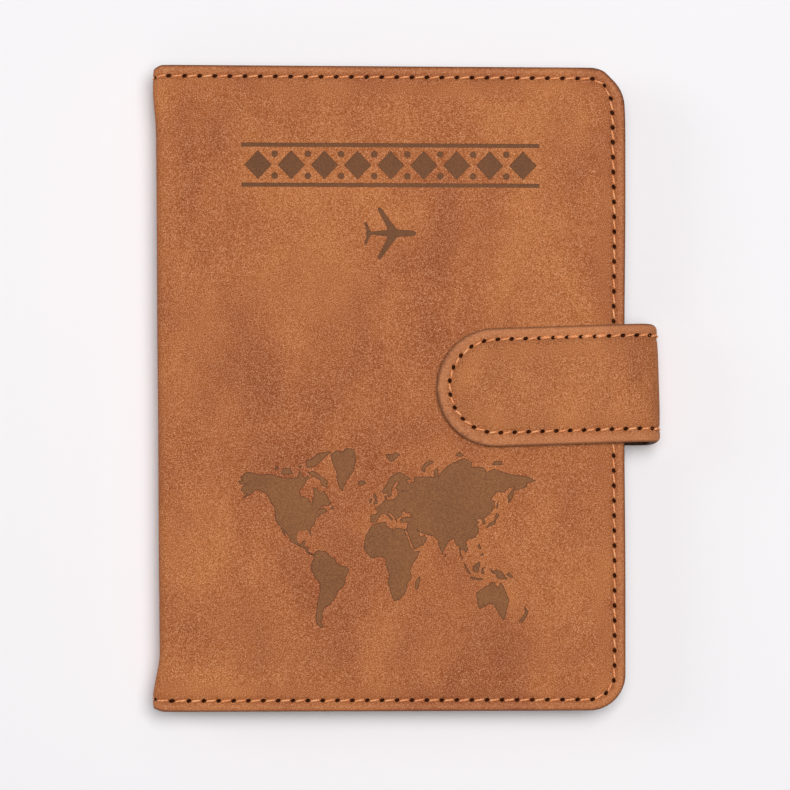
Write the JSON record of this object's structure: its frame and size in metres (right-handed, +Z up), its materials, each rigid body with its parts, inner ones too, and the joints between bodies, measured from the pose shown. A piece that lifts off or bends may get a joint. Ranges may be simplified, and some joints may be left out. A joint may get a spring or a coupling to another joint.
{
  "type": "passport holder",
  "caption": "Tan travel-document holder with two sewn covers on a soft spine, card pockets, a passport sleeve and a magnetic strap over the fore-edge.",
  "frame": {"origin": "centre of the back cover's flat outer face, on which the closed holder lies", "axes": "+X from the spine to the fore-edge, +Y to the head of the cover, +Z up through the front cover"},
  "size_m": [0.1105, 0.142, 0.0175],
  "materials": {
    "cover_leather": "matt brushed tan leathercloth with a fine nap and cloudy shading",
    "pocket_leather": "the same tan leathercloth, on the pocket panels",
    "lining": "dark brown woven lining",
    "strap_leather": "matt brushed tan leathercloth, a little paler",
    "strap_lining": "dark brown smooth leathercloth",
    "foam": "thin off-white foam sheet",
    "board": "grey pressed paper board",
    "thread": "light orange polyester sewing thread",
    "steel": "zinc-plated steel disc",
    "magnet": "nickel-plated disc magnet"
  },
  "bodies": {
    "back_cover": {"back_skin": "cover_leather", "back_foam": "foam", "back_board": "board", "back_lining": "lining", "passport_sleeve": "pocket_leather", "back_stitches": "thread", "strap_tongue": "strap_leather", "tongue_stitches": "thread"},
    "spine": {"spine_skin": "cover_leather", "spine_strip": "board", "spine_lining": "lining"},
    "front_cover": {"front_skin": "cover_leather", "front_foam": "foam", "front_board": "board", "steel_disc": "steel", "front_lining": "lining", "hidden_pocket": "pocket_leather", "card_slot_top": "pocket_leather", "card_slot_middle": "pocket_leather", "card_slot_bottom": "pocket_leather", "sim_pocket": "pocket_leather", "front_stitches": "thread", "slot_stitches": "thread"},
    "strap_bend": {"strap_bend_leather": "strap_leather", "strap_bend_lining": "strap_lining"},
    "strap_tab": {"strap_tab_leather": "strap_leather", "strap_stiffener": "board", "strap_magnet": "magnet", "strap_tab_lining": "strap_lining", "strap_stitches": "thread"}
  },
  "joints": [
    {"name": "spine_fold", "type": "hinge", "parent": "back_cover", "child": "spine", "pos_m": [-0.0503, 0, 0.0012], "axis": [0, -1, 0], "range_deg": [0, 90]},
    {"name": "front_fold", "type": "hinge", "parent": "spine", "child": "front_cover", "pos_m": [-0.0503, 0, 0.0138], "axis": [0, -1, 0], "range_deg": [0, 90]},
    {"name": "strap_swing", "type": "hinge", "parent": "back_cover", "child": "strap_bend", "pos_m": [0.0572, 0, 0.0025], "axis": [0, 1, 0], "range_deg": [0, 90], "deforming": ["strap_bend_leather", "strap_bend_lining"]},
    {"name": "strap_unroll", "type": "hinge", "parent": "strap_bend", "child": "strap_tab", "pos_m": [0.0572, 0, 0.0157], "axis": [0, 1, 0], "range_deg": [0, 90]}
  ],
  "couplings": [
    {"joint": "front_fold", "follows": "spine_fold", "ratio": 1},
    {"joint": "strap_unroll", "follows": "strap_swing", "ratio": 1}
  ]
}
